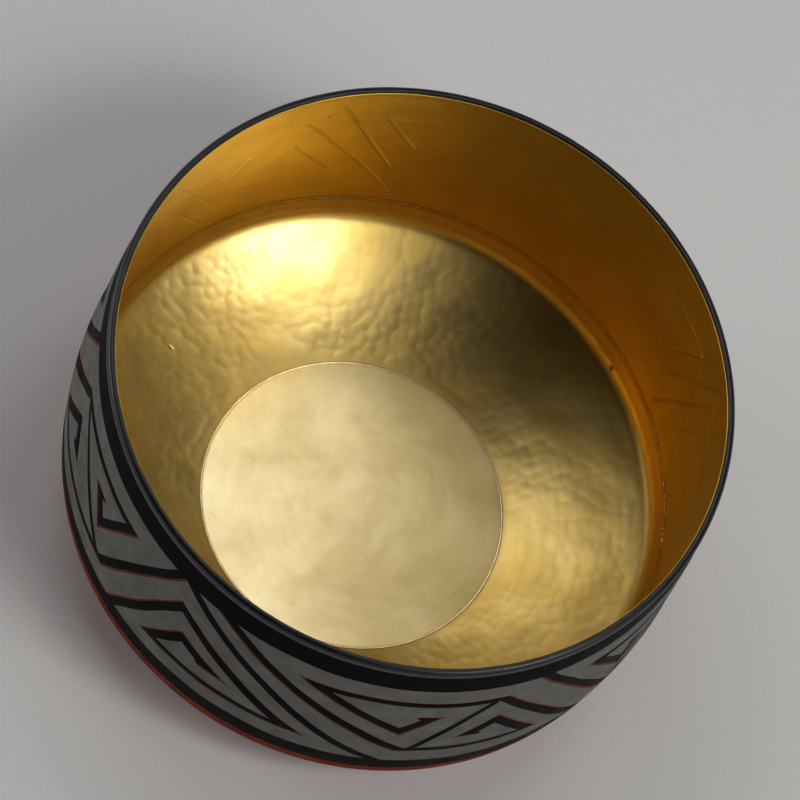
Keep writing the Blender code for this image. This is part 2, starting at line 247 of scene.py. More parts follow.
def brass(name, roughness, streak, patina, anisotropy, scratched, bright, deep):
    """Old brushed brass: streaks round the axis, cloudy patina and scratches. A per-point darkening attribute
    adds an olive film up to 0.35, and dark grime as it nears 1; on the floor disc part of it is painted
    shade, darker on one side as if less lit."""
    made, tree, shader = new_material(name)
    spot = place(tree)
    clouds = noise(tree, spot, 38.0, 5.0, 0.62, 0.6)
    stains = noise(tree, spot, 115.0, 4.0, 0.6, 0.3)
    streaks = noise(tree, turned_coordinates(tree, 700.0, 3.0), 1.0, 2.0, 0.55)
    grains = noise(tree, spot, 900.0, 1.0, 0.5)
    tarnish_and_shade = node(tree, "ShaderNodeAttribute", attribute_name="tarnish_and_shade").outputs["Fac"]

    clean = mix(tree, remap(tree, clouds, 0.34, 0.66), bright, deep)
    worn = maths(tree, "MULTIPLY", remap(tree, stains, 0.50, 0.72), patina)
    aged = mix(tree, worn, clean, PATINA)
    lined = mix(tree, remap(tree, streaks, 0.50, 0.78, 0.0, 0.22 * streak), aged, STREAKED)
    filmed_and_shaded = mix(tree, remap(tree, tarnish_and_shade, 0.0, 0.35, 0.0, 0.60), lined, FILM_AND_SHADE)
    body = mix(tree, remap(tree, tarnish_and_shade, 0.0, 1.0, 0.0, 0.92), filmed_and_shaded, DIRT_AND_SHADE)
    height = maths(tree, "ADD", maths(tree, "MULTIPLY", streaks, 0.8 * streak),
                   maths(tree, "MULTIPLY", grains, 0.2))
    gloss = maths(tree, "ADD", remap(tree, clouds, 0.3, 0.7, roughness - 0.03, roughness + 0.06),
                  remap(tree, streaks, 0.3, 0.7, -0.02 * streak, 0.04 * streak))
    gloss = maths(tree, "ADD", gloss, remap(tree, tarnish_and_shade, 0.0, 1.0, 0.0, 0.30))
    if scratched:
        marks = 0.0
        for settings in SCRATCH_SETS:
            marks = maths(tree, "MAXIMUM", marks, scratches(tree, *settings))
        body = mix(tree, maths(tree, "MULTIPLY", marks, scratched), body, SCRATCHED)
        gloss = maths(tree, "ADD", gloss, maths(tree, "MULTIPLY", marks, 0.12))
        height = maths(tree, "SUBTRACT", height, maths(tree, "MULTIPLY", marks, 0.3))
    tree.links.new(body, shader.inputs["Base Color"])
    tree.links.new(gloss, shader.inputs["Roughness"])
    tree.links.new(bump(tree, height, 0.00004, 0.55), shader.inputs["Normal"])
    shader.inputs["Metallic"].default_value = 1.0
    shader.inputs["Anisotropic"].default_value = anisotropy
    tangent = node(tree, "ShaderNodeTangent", direction_type="RADIAL", axis="Z")
    tree.links.new(tangent.outputs[0], shader.inputs["Tangent"])
    return made


def paint(name, colour, shade, roughness, brush, speckle, specular):
    """Hand-laid paint: brush strokes round the bowl, uneven cover and specks of dust."""
    made, tree, shader = new_material(name)
    spot = place(tree)
    strokes = noise(tree, turned_coordinates(tree, 1500.0, 14.0), 1.0, 3.0, 0.6)
    cover = noise(tree, spot, 160.0, 4.0, 0.6)
    dust = noise(tree, spot, 2400.0, 2.0, 0.6)
    body = mix(tree, remap(tree, cover, 0.35, 0.70), colour, shade)
    body = mix(tree, remap(tree, strokes, 0.45, 0.75, 0.0, 0.35), body, shade)
    body = mix(tree, remap(tree, dust, 0.66, 0.74, 0.0, speckle), body, DUST)
    tree.links.new(body, shader.inputs["Base Color"])
    gloss = maths(tree, "ADD", remap(tree, cover, 0.3, 0.7, roughness - 0.05, roughness + 0.06),
                  remap(tree, strokes, 0.3, 0.7, -0.03, 0.03))
    tree.links.new(gloss, shader.inputs["Roughness"])
    height = maths(tree, "ADD", maths(tree, "MULTIPLY", strokes, brush), maths(tree, "MULTIPLY", dust, 0.25))
    tree.links.new(bump(tree, height, 0.00005, 0.5), shader.inputs["Normal"])
    shader.inputs["Specular IOR Level"].default_value = specular
    return made


def solder(name, dim, bright):
    """Satin solder with bright high spots."""
    made, tree, shader = new_material(name)
    lumps = noise(tree, place(tree), 900.0, 2.0, 0.6)
    tree.links.new(mix(tree, remap(tree, lumps, 0.4, 0.65), dim, bright), shader.inputs["Base Color"])
    tree.links.new(remap(tree, lumps, 0.3, 0.7, 0.42, 0.30), shader.inputs["Roughness"])
    tree.links.new(bump(tree, lumps, 0.00005, 0.5), shader.inputs["Normal"])
    shader.inputs["Metallic"].default_value = 1.0
    return made


def pale_floor():
    made, tree, shader = new_material("pale_floor")
    grain = noise(tree, place(tree), 900.0, 3.0, 0.6)
    colour = mix(tree, remap(tree, grain, 0.3, 0.7), (0.88, 0.87, 0.85), (0.92, 0.91, 0.89))
    tree.links.new(colour, shader.inputs["Base Color"])
    tree.links.new(bump(tree, grain, 0.0002, 0.25), shader.inputs["Normal"])
    shader.inputs["Roughness"].default_value = 0.75
    return made


# ---- surfaces of revolution ----

def wall_radius(depth):
    """The wall's inner radius at a depth, by smooth cubic interpolation of WALL_CURVE."""
    knots, radii = np.array(WALL_CURVE).T
    depth = np.asarray(depth, float)
    index = np.clip(np.searchsorted(knots, depth, side="right") - 1, 0, len(knots) - 2)
    slopes = np.empty_like(radii)
    slopes[1:-1] = (radii[2:] - radii[:-2]) / (knots[2:] - knots[:-2])
    slopes[0] = (radii[1] - radii[0]) / (knots[1] - knots[0])
    slopes[-1] = (radii[-1] - radii[-2]) / (knots[-1] - knots[-2])
    span = knots[index + 1] - knots[index]
    t = (depth - knots[index]) / span
    return ((2 * t**3 - 3 * t**2 + 1) * radii[index] + (t**3 - 2 * t**2 + t) * slopes[index] * span
            + (3 * t**2 - 2 * t**3) * radii[index + 1] + (t**3 - t**2) * slopes[index + 1] * span)


def wall_point(depth, offset):
    """(radius, depth) of the wall's inner face at a depth, moved out along its normal by an offset."""
    step = 0.0005
    slope = (wall_radius(depth + step) - wall_radius(depth - step)) / (2 * step)
    length = np.sqrt(1.0 + slope**2)
    return wall_radius(depth) + offset / length, depth - offset * slope / length


def ripple(turn, along, wavelength, seed):
    """Smooth unevenness of about -1 to 1 that closes round the axis. Turn is in radians, along in metres."""
    random = np.random.default_rng(seed)
    total = 0.0
    for _ in range(WAVES):
        direction = random.uniform(0.0, math.pi)
        stretch = random.uniform(0.7, 1.5)
        cycles = round(FLAT_RADIUS * math.tau / wavelength * stretch * math.cos(direction))
        rate = math.tau / wavelength * stretch * math.sin(direction)
        total = total + np.sin(cycles * turn + rate * along + random.uniform(0.0, math.tau))
    return total / math.sqrt(2.0 * WAVES)


def relief(turns, lengths, wavelength, seed):
    """A ripple over a skin, as a (lengths, turns) array."""
    return ripple(turns[None, :], lengths[:, None], wavelength, seed)


def swell(x, y, wavelength, seed):
    """Smooth unevenness of about -1 to 1 over a plane."""
    random = np.random.default_rng(seed)
    total = 0.0
    for _ in range(WAVES):
        direction, phase = random.uniform(0.0, math.tau, 2)
        rate = math.tau / wavelength * random.uniform(0.7, 1.5)
        total = total + np.sin(rate * (x * math.cos(direction) + y * math.sin(direction)) + phase)
    return total / math.sqrt(2.0 * WAVES)


def skin(name, finish, radius, depth, turns, cyclic=True, tarnish_and_shade=None):
    """A closed surface from (rows, turns) arrays of radius and depth, with rows that run down its outside. A
    cyclic skin's last row joins its first, and any other is closed at both ends by a fan to the axis."""
    rows, columns = radius.shape
    x, y, z = radius * np.cos(turns), radius * np.sin(turns), RIM_TOP - depth
    points = np.stack([x, y, z], -1).reshape(-1, 3)
    index = np.arange(rows * columns).reshape(rows, columns)
    lower = np.roll(index, -1, 0) if cyclic else index[1:]
    upper = index if cyclic else index[:-1]
    quads = np.stack([upper, lower, np.roll(lower, -1, 1), np.roll(upper, -1, 1)], -1).reshape(-1, 4)
    fans = np.empty((0, 3), int)
    if not cyclic:
        poles = [[0.0, 0.0, RIM_TOP - float(depth[row].mean())] for row in (0, -1)]
        points = np.vstack([points, poles])
        first, last = rows * columns, rows * columns + 1
        top, foot = index[0], index[-1]
        fans = np.vstack([np.stack([np.full(columns, first), top, np.roll(top, -1)], -1),
                          np.stack([np.full(columns, last), np.roll(foot, -1), foot], -1)])
    mesh = bpy.data.meshes.new(name)
    mesh.vertices.add(len(points))
    mesh.vertices.foreach_set("co", points.astype(np.float32).ravel())
    mesh.loops.add(quads.size + fans.size)
    mesh.loops.foreach_set("vertex_index", np.concatenate([quads.ravel(), fans.ravel()]).astype(np.int32))
    mesh.polygons.add(len(quads) + len(fans))
    starts = np.concatenate([np.arange(len(quads)) * 4, quads.size + np.arange(len(fans)) * 3])
    mesh.polygons.foreach_set("loop_start", starts.astype(np.int32))
    mesh.update(calc_edges=True)
    if tarnish_and_shade is not None:
        values = np.zeros(len(points), np.float32)
        values[:rows * columns] = np.clip(tarnish_and_shade, 0.0, 1.0).astype(np.float32).ravel()
        if not cyclic:
            values[rows * columns:] = tarnish_and_shade[0].mean(), tarnish_and_shade[-1].mean()
        mesh.attributes.new("tarnish_and_shade", "FLOAT", "POINT").data.foreach_set("value", values)
    mesh.shade_smooth()
    mesh.set_sharp_from_angle(angle=math.radians(50.0))
    return show(name, mesh, finish)


def show(name, mesh, finish):
    mesh.materials.append(finish)
    made = bpy.data.objects.new(name, mesh)
    bpy.context.scene.collection.objects.link(made)
    return made


def settle(piece, slot, *nodes):
    """Fixes a finished piece to the bowl, in place of the CAD nodes that it stands for."""
    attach(piece, "root")
    if nodes:
        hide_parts(*nodes)


def around(count):
    return np.linspace(-math.pi, math.pi, count, endpoint=False)


def all_round(values, turns):
    """One value for each row, the same at every turn: a (rows, turns) array."""
    return np.repeat(np.asarray(values)[:, None], len(turns), 1)


def turn_between(turns, others):
    """The turns from others to turns, the short way round."""
    return (turns - others + math.pi) % math.tau - math.pi


def lengths_of(path):
    """The distance along a (radius, depth) path to each of its points."""
    return np.concatenate([[0.0], np.cumsum(np.hypot(*np.diff(path, axis=0).T))])


def spread(path, count):
    """A (radius, depth) path as a number of evenly spaced points."""
    length = lengths_of(path)
    at = np.linspace(0.0, length[-1], count)
    return np.stack([np.interp(at, length, path[:, 0]), np.interp(at, length, path[:, 1])], -1)


def outwards(path):
    """Unit normals of a (radius, depth) path that runs down the outside, as (radius, depth) pairs."""
    along = np.gradient(path, axis=0)
    along /= np.linalg.norm(along, axis=1)[:, None]
    return np.stack([along[:, 1], -along[:, 0]], -1)


def arc(centre, radius, start, end, steps):
    """Points on a round corner. Angles are in degrees from outwards, and grow towards the rim."""
    angles = np.radians(np.linspace(start, end, steps))
    return [(centre[0] + radius * math.cos(a), centre[1] - radius * math.sin(a)) for a in angles]


def bell(distance, width):
    """1 at no distance, and nearly 0 at twice the width."""
    return np.exp(-(distance / width) ** 2)


def ramp(distance, length):
    """0 up to a distance of 0, rising evenly to 1 at the length."""
    return np.clip(distance / length, 0.0, 1.0)


def eased(share):
    """A share from 0 to 1 with its rise slowed at both ends."""
    return share * share * (3 - 2 * share)


# ---- the fret border's lines, drawn flat ----

def flat(turn, depth):
    return Vector((math.radians(turn) * FLAT_RADIUS, -depth))


def paired_fret(lean, top, stem_run, stem_gap, crown_length, foot_run, foot_gap):
    """Two interlocked hooked triangles: a stem from the rim band, a foot to the foot band and a tie. A line
    is (points, stroke widths, side of the red outline), and the side is 1 for left, -1 for right or 0."""
    def stem(depth):
        return top + lean * stem_run * (depth - BORDER_TOP) / (BASE - BORDER_TOP)

    near = stem(CROWN) + lean * stem_gap
    tip = stem(TIP) + lean * stem_gap
    far = near + lean * crown_length
    hook = HOOK_REACH * crown_length

    def foot(depth):
        return far + lean * foot_run * (depth - CROWN) / (BORDER_FOOT - CROWN)

    corner = stem(BASE)
    base_end = foot(BASE) - lean * foot_gap
    apex = foot(APEX) - lean * foot_gap
    stem_line = [flat(stem(BORDER_TOP - LINE_RUN_IN), BORDER_TOP - LINE_RUN_IN), flat(corner, BASE),
                 flat(base_end, BASE), flat(apex, APEX), flat(apex - lean * hook, HOOK_LOW)]
    foot_line = [flat(foot(BORDER_FOOT + LINE_RUN_IN), BORDER_FOOT + LINE_RUN_IN), flat(far, CROWN),
                 flat(near, CROWN), flat(tip, TIP), flat(tip + lean * hook, HOOK_HIGH)]
    tie = [flat(far - lean * TIE_INSETS[0], CROWN), flat(corner + lean * TIE_INSETS[1], BASE)]
    return [(stem_line, [STROKE, THIN_STROKE, STROKE, STROKE], -lean),
            (foot_line, [STROKE, THIN_STROKE, STROKE, STROKE], -lean),
            (tie, [THIN_STROKE], 0)]


def single_fret(turn, direction):
    """One hooked triangle, standing on the foot band or, turned half round, hanging from the rim band."""
    middle = (BORDER_TOP + BORDER_FOOT) / 2
    # (degrees from the outer tip, depth) of a standing fret's points.
    upright = [(-14.5, BORDER_FOOT + LINE_RUN_IN), (0.0, 0.0217), (25.6, 0.0455), (-3.1, 0.0455),
               (2.6, 0.0338), (8.9, 0.0382)]
    if direction > 0:
        points = [flat(turn + x, depth) for x, depth in upright]
    else:
        points = [flat(turn - x, 2 * middle - depth) for x, depth in upright]
    return points, [STROKE, STROKE, THIN_STROKE, STROKE, STROKE], 1


def plain_line(top, foot):
    """A straight diagonal from the rim band to the foot band."""
    start, end = flat(top, BORDER_TOP), flat(foot, BORDER_FOOT)
    along = (end - start).normalized() * LINE_RUN_IN
    return [start - along, end + along], [STROKE], 0


def fret_lines():
    """All lines of the border, with those near the flat drawing's ends repeated past its other end."""
    lines = [line for settings in PAIRED_FRETS for line in paired_fret(*settings)]
    lines += [single_fret(*settings) for settings in SINGLE_FRETS]
    lines += [plain_line(*settings) for settings in PLAIN_LINES]
    round_trip = math.tau * FLAT_RADIUS
    overlap = 0.01
    repeated = []
    for points, widths, red_side in lines:
        for shift in (-round_trip, 0.0, round_trip):
            moved = [point + Vector((shift, 0.0)) for point in points]
            if any(abs(point.x) < round_trip / 2 + overlap for point in moved):
                repeated.append((moved, widths, red_side))
    return repeated


def side_line(points, distances, end_level=None):
    """The line beside a line, on its left at these distances from each of its segments. It ends square, or
    else at a level."""
    ways = [(b - a).normalized() for a, b in zip(points, points[1:])]
    lefts = [Vector((-way.y, way.x)) * distance for way, distance in zip(ways, distances)]
    beside = [points[0] + lefts[0]]
    for i in range(1, len(ways)):
        a, b = points[i] + lefts[i - 1], points[i] + lefts[i]
        turn = ways[i - 1].x * ways[i].y - ways[i - 1].y * ways[i].x
        ahead = ((b.x - a.x) * ways[i].y - (b.y - a.y) * ways[i].x) / turn
        beside.append(a + ways[i - 1] * ahead)
    end = points[-1] + lefts[-1]
    if end_level is not None:
        end += ways[-1] * ((end_level - end.y) / ways[-1].y)
    return beside + [end]


def ribbon(line, margin=0.0, red=0.0):
    """The outline of a line, widened by a margin all round and by red on the side of its red outline. A line
    with a red outline ends in a hook, which is cut off level with a small barb on its short side."""
    points, widths, red_side = line
    left = [width / 2 + margin + (red if red_side > 0 else 0.0) for width in widths]
    right = [-(width / 2 + margin + (red if red_side < 0 else 0.0)) for width in widths]
    if not red_side:
        return side_line(points, left) + side_line(points, right)[::-1]
    way = (points[-1] - points[-2]).normalized()
    black_level = points[-1].y + math.copysign(HOOK_EXTRA, way.y)
    level = black_level + math.copysign(margin + red, way.y)
    sides = [side_line(points, left, level), side_line(points, right, level)]
    short, long = (0, 1) if (sides[0][-1] - sides[1][-1]).dot(way) < 0 else (1, 0)
    corner = sides[short].pop()
    out = math.copysign(1.0, corner.x - sides[long][-1].x)
    sides[short].append(corner - way * (BARB_ROOT + (2 * margin + red) / abs(way.y)))
    sides[short].append(Vector((corner.x + out * (BARB_REACH + red + 2 * margin), black_level)))
    if red:
        sides[short].append(Vector((corner.x + out * (BARB_REACH + margin), level)))
    return sides[0] + sides[1][::-1]


# ---- the fret border's pieces, cut flat and wrapped round the wall ----

def evaluated_mesh(obj):
    bpy.context.view_layer.update()
    graph = bpy.context.evaluated_depsgraph_get()
    return bpy.data.meshes.new_from_object(obj.evaluated_get(graph), depsgraph=graph)


def helper_object(data):
    made = bpy.data.objects.new("helper", data)
    bpy.context.scene.collection.objects.link(made)
    return made


def flat_plate(outline, low, high):
    """A flat outline extruded between two levels."""
    curve = bpy.data.curves.new("plate", "CURVE")
    curve.dimensions = "2D"
    curve.fill_mode = "BOTH"
    curve.extrude = (high - low) / 2
    spline = curve.splines.new("POLY")
    spline.points.add(len(outline) - 1)
    for i, point in enumerate(outline):
        spline.points[i].co = (point.x, point.y, 0.0, 1.0)
    spline.use_cyclic_u = True
    guide = helper_object(curve)
    mesh = evaluated_mesh(guide)
    bpy.data.objects.remove(guide, do_unlink=True)
    build = bmesh.new()
    build.from_mesh(mesh)
    bmesh.ops.remove_doubles(build, verts=build.verts, dist=1e-6)
    bmesh.ops.dissolve_limit(build, angle_limit=0.001, verts=build.verts, edges=build.edges)
    bmesh.ops.translate(build, verts=build.verts, vec=(0.0, 0.0, (low + high) / 2))
    bmesh.ops.recalc_face_normals(build, faces=build.faces)
    build.to_mesh(mesh)
    build.free()
    return helper_object(mesh)


def border_slab(top, foot, low, high):
    """A flat slab as long as the way round the bowl, between two depths."""
    half = math.pi * FLAT_RADIUS
    corners = [(-half, -foot), (half, -foot), (half, -top), (-half, -top)]
    return flat_plate([Vector(corner) for corner in corners], low, high)


def cut_with(obj, cutters):
    """The mesh of obj less the cutters. It and they are removed from the scene."""
    for cutter in cutters:
        modifier = obj.modifiers.new("Cut", "BOOLEAN")
        modifier.operation = "DIFFERENCE"
        modifier.object = cutter
    mesh = evaluated_mesh(obj)
    for used in [obj, *cutters]:
        bpy.data.objects.remove(used, do_unlink=True)
    return mesh


def wrapped(mesh, top, foot):
    """A flat mesh cut along a fine grid, wavering as if drawn by hand, and wrapped round the wall."""
    build = bmesh.new()
    build.from_mesh(mesh)
    half = math.pi * FLAT_RADIUS
    edge_fade = 0.004

    def slice_at(point, normal):
        everything = build.verts[:] + build.edges[:] + build.faces[:]
        bmesh.ops.bisect_plane(build, geom=everything, dist=1e-6, plane_co=point, plane_no=normal)

    for i in range(1, BORDER_ROWS):
        slice_at((0.0, -(top + (foot - top) * i / BORDER_ROWS), 0.0), (0.0, 1.0, 0.0))
    for i in range(1, BORDER_SLICES):
        slice_at((half * (2 * i / BORDER_SLICES - 1), 0.0, 0.0), (1.0, 0.0, 0.0))
    ends = [face for face in build.faces if min(abs(vert.co.x) for vert in face.verts) > half - 1e-5]
    bmesh.ops.delete(build, geom=ends, context="FACES")
    flat_points = np.array([vert.co for vert in build.verts])
    turn, depth = flat_points[:, 0] / FLAT_RADIUS, -flat_points[:, 1]
    free = ramp(np.minimum(depth - top, foot - depth), edge_fade)
    turn = turn + free * ripple(turn, depth, 0.016, seed=31) * WAVER / FLAT_RADIUS
    depth = depth + free * ripple(turn, depth, 0.020, seed=32) * WAVER
    radius, level = wall_point(depth, PAINT[0] + flat_points[:, 2])
    for vert, x, y, z in zip(build.verts, radius * np.cos(turn), radius * np.sin(turn), RIM_TOP - level):
        vert.co = (x, y, z)
    bmesh.ops.remove_doubles(build, verts=build.verts, dist=2e-6)
    bmesh.ops.recalc_face_normals(build, faces=build.faces)
    build.faces.index_update()
    return build


def bodies_of(build):
    """The separate bodies of a bmesh, as sets of faces."""
    left, found = set(build.faces), []
    while left:
        waiting = [left.pop()]
        body = set(waiting)
        while waiting:
            near = {other for edge in waiting.pop().edges for other in edge.link_faces} & left
            left -= near
            body |= near
            waiting += near
        found.append(body)
    return found


def middle_turn(faces):
    """The turn of the middle of some faces, in radians."""
    total = Vector((0.0, 0.0))
    for face in faces:
        total += face.calc_center_median().to_2d().normalized() * face.calc_area()
    return math.atan2(total.y, total.x)


def painted_piece(build, name, faces, finish):
    """Some faces of a wrapped border as a piece of their own."""
    copy = build.copy()
    keep = {face.index for face in faces}
    bmesh.ops.delete(copy, geom=[face for face in copy.faces if face.index not in keep], context="FACES")
    mesh = bpy.data.meshes.new(name)
    copy.to_mesh(mesh)
    copy.free()
    mesh.shade_smooth()
    mesh.set_sharp_from_angle(angle=math.radians(40.0))
    return show(name, mesh, finish)


def make_border():
    """The black fretwork, and the stone-coloured fields, cut back so that the red ground shows between."""
    lines = fret_lines()
    thick = PAINT[1] - PAINT[0]
    top, foot = LIP_DEPTH + LIP_JOINT, SEAM_DEPTH - GAP
    openings = cut_with(border_slab(BORDER_TOP, BORDER_FOOT, -thick, 2 * thick),
                        [flat_plate(ribbon(line), -2 * thick, 3 * thick) for line in lines])
    lattice = wrapped(cut_with(border_slab(top, foot, 0.0, thick), [helper_object(openings)]), top, foot)
    settle(painted_piece(lattice, "fretwork_paint", lattice.faces, BLACK), "black_coat", "black_fretwork")
    lattice.free()

    cutters = [flat_plate(ribbon(line, HAIRLINE, SCRIBED), -thick, 2 * thick) for line in lines]
    slab = border_slab(BORDER_TOP + HAIRLINE, BORDER_FOOT - HAIRLINE, 0.0, thick)
    fields = wrapped(cut_with(slab, cutters), top, foot)
    bodies = sorted(bodies_of(fields), key=middle_turn)
    cad_fields = sorted(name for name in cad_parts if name.startswith("fret_field_"))
    for number, faces in enumerate(bodies, 1):
        piece = painted_piece(fields, f"field_paint_{number:02d}", faces, STONE)
        settle(piece, "stone_coat", *cad_fields[number - 1:number])
    fields.free()


def red_outlines():
    """The middles of the red outlines, which are scribed into the brass."""
    found = []
    for points, widths, red_side in fret_lines():
        if red_side:
            distances = [red_side * (width / 2 + SCRIBED / 2) for width in widths]
            found.append(side_line(points, distances))
    return found


# ---- the brass ----

def scribed_ridges(turns, depths):
    """How far the lines scribed into the outside stand up inside the wall, as a (depths, turns) array."""
    x, y = turns * FLAT_RADIUS, -depths
    height = np.zeros((len(depths), len(turns)))
    reach = 0.0012
    for points in red_outlines():
        for a, b in zip(points, points[1:]):
            columns = np.flatnonzero((x > min(a.x, b.x) - reach) & (x < max(a.x, b.x) + reach))
            rows = np.flatnonzero((y > min(a.y, b.y) - reach) & (y < max(a.y, b.y) + reach))
            if not len(columns) or not len(rows):
                continue
            px, py = np.meshgrid(x[columns] - a.x, y[rows] - a.y)
            way = b - a
            share = np.clip((px * way.x + py * way.y) / way.length_squared, 0.0, 1.0)
            distance = np.hypot(px - share * way.x, py - share * way.y)
            block = np.ix_(rows, columns)
            steepness = abs(way.y) / way.length
            ridge = bell(distance, RIDGE_WIDTH / 2) * (LEVEL_SHARE + (1 - LEVEL_SHARE) * steepness)
            height[block] = np.maximum(height[block], ridge)
    strength = 0.28 + 0.22 * relief(turns, depths, 0.040, seed=7)
    for turn, width in CLEAR_RIDGES:
        strength += bell(turns[None, :] - math.radians(turn), math.radians(width))
    return height * np.clip(strength, 0.08, 1.0) * RIDGE_HEIGHT


def pits(turns, depths, places):
    """Small pits, from 0 to 1 at a pit's middle, as an array of (depths, turns)."""
    dent = np.zeros((len(depths), len(turns)))
    for turn, depth, size in places:
        distance = np.hypot((turns[None, :] - math.radians(turn)) * FLAT_RADIUS, depths[:, None] - depth)
        dent = np.maximum(dent, bell(distance, size))
    return dent


def make_wall():
    """The brass wall: a thin gold edge inside the lip, and the scribed lines' ridges on its inner face."""
    turns = around(1440)
    edge_depth, edge_radius = 0.0008, 0.00012
    foot = SEAM_DEPTH - GAP
    inner_depths = np.linspace(edge_depth, foot, 210)
    neck = eased(ramp(inner_depths - edge_depth, 0.0028))
    lip_inner = LIP_RADIUS - GOLD_EDGE
    inner = lip_inner + (wall_radius(inner_depths) - lip_inner) * neck
    outer_depths = np.array([edge_depth, 0.0015, LIP_DEPTH + 0.0001, LIP_DEPTH + 0.0004,
                             0.006, 0.012, 0.02, 0.03, 0.04, 0.05, foot - 0.0001, foot])
    outer = wall_radius(outer_depths) + SHEET
    outer[:3] = lip_inner + 2 * edge_radius
    edge = np.array(arc((lip_inner + edge_radius, edge_depth), edge_radius, 180.0, 0.0, 7)[1:-1])
    rise = (relief(turns, inner_depths, 0.012, seed=3) * 0.000018
            + relief(turns, inner_depths, 0.034, seed=4) * 0.00006)
    dent = pits(turns, inner_depths, WALL_PITS)
    calm = ramp(inner_depths - 0.003, 0.004)[:, None]
    inside = inner[:, None] + (rise - scribed_ridges(turns, inner_depths)) * calm + 0.0001 * dent
    radius = np.concatenate([all_round(outer, turns), inside[::-1], all_round(edge[:, 0], turns)])
    depth = all_round(np.concatenate([outer_depths, inner_depths[::-1], edge[:, 1]]), turns)
    dirt_and_shade = np.zeros_like(radius)
    seam_dirt = 0.5 * bell(inner_depths - foot, 0.0007)
    dirt_and_shade[len(outer):len(outer) + len(inner)] = (dent * 0.8 + seam_dirt[:, None])[::-1]
    settle(skin("wall_brass", WALL_BRASS, radius, depth, turns, tarnish_and_shade=dirt_and_shade), "brass", "wall_band")


def dish_path(offset, inner_radius):
    """(radius, depth) points from the seam over the crease and in to inner_radius."""
    crease = np.array([float(wall_radius(CREASE_DEPTH)), CREASE_DEPTH])
    along = np.array([FLOOR_RADIUS, FLOOR_DEPTH]) - crease
    outward = np.array([along[1], -along[0]]) / np.hypot(*along)
    bend_end = 0.08

    def slope_point(t):
        return crease + along * t + outward * (offset + 4 * DISH_SAG * t * (1 - t))

    drop = [wall_point(depth, offset) for depth in np.linspace(SEAM_DEPTH, CREASE_DEPTH - CREASE_BEND, 12)]
    start, end = np.array(drop[-1]), slope_point(bend_end)
    corner = crease + [offset, 0.0]
    bend = [(1 - t)**2 * start + 2 * t * (1 - t) * corner + t**2 * end for t in np.linspace(0.0, 1.0, 14)[1:]]
    last = (crease[0] + outward[0] * offset - inner_radius) / -along[0]
    slope = [slope_point(t) for t in np.linspace(bend_end, last, 110)[1:]]
    return np.vstack([drop, bend, slope])


def hammer_marks(turns, lengths, radii):
    """The soft relief of hammer blows laid in rings, lowest in each blow's middle: a (lengths, turns) array.
    Lengths are the rows' distances down the slope, and radii the rows' radii."""
    random = np.random.default_rng(12)
    pitch, sharpness = 0.0023, 5.0
    reach = 1.9 * pitch
    total = np.full((len(lengths), len(turns)), math.exp(-sharpness))
    for ring in range(int(lengths[-1] / pitch) + 3):
        middle = (ring - 0.5) * pitch
        near = np.flatnonzero(np.abs(lengths - middle) < reach)
        if not len(near):
            continue
        ring_radius = np.interp(middle, lengths, radii)
        count = int(math.tau * ring_radius / (pitch * 1.12))
        own_turns = (np.arange(count) + random.uniform(-0.36, 0.36, count)) * math.tau / count - math.pi
        own_lengths = middle + random.uniform(-0.40, 0.40, count) * pitch
        lift = random.uniform(0.0, 0.35, count)
        nearest = np.round((turns + math.pi) * count / math.tau).astype(int)
        for step in (-1, 0, 1):
            mark = (nearest + step) % count
            across = turn_between(turns, own_turns[mark])[None, :] * radii[near][:, None]
            down = lengths[near][:, None] - own_lengths[mark][None, :]
            blow = (across**2 + down**2) / pitch**2 + lift[mark][None, :]
            total[near] += np.exp(-sharpness * blow)
    return -np.log(total) / sharpness


def make_dish():
    """The hammered brass below the seam."""
    turns = around(1440)
    inner_edge = FLOOR_RADIUS + GAP
    inside = spread(dish_path(0.0, inner_edge), 130)
    outside = spread(dish_path(SHEET, inner_edge), 24)
    lengths = lengths_of(inside)
    marks = hammer_marks(turns, lengths, inside[:, 0])
    patches = np.clip(0.75 + 0.45 * relief(turns, lengths, 0.05, seed=21), 0.35, 1.0)
    fade = (ramp(lengths - 0.006, 0.004) * ramp(lengths[-1] - lengths, 0.003))[:, None]
    push = 0.00007 * (0.35 - marks) * patches * (0.15 + 0.85 * fade)
    push += relief(turns, lengths, 0.018, seed=22) * 0.00005 * fade
    dent = pits(turns, inside[:, 1], DISH_PITS)
    push += 0.00015 * dent
    rows = inside[:, None, :] + outwards(inside)[:, None, :] * push[:, :, None]
    radius = np.concatenate([all_round(outside[:, 0], turns), rows[::-1, :, 0]])
    depth = np.concatenate([all_round(outside[:, 1], turns), rows[::-1, :, 1]])
    edge_dirt = 0.10 * bell(lengths[-1] - lengths, 0.0008) + 0.5 * bell(lengths, 0.0006)
    dirt_and_shade = np.zeros_like(radius)
    dirt_and_shade[len(outside):] = (edge_dirt[:, None] + dent * 0.7)[::-1]
    settle(skin("dish_brass", DISH_BRASS, radius, depth, turns, tarnish_and_shade=dirt_and_shade), "brass", "hammered_dish")


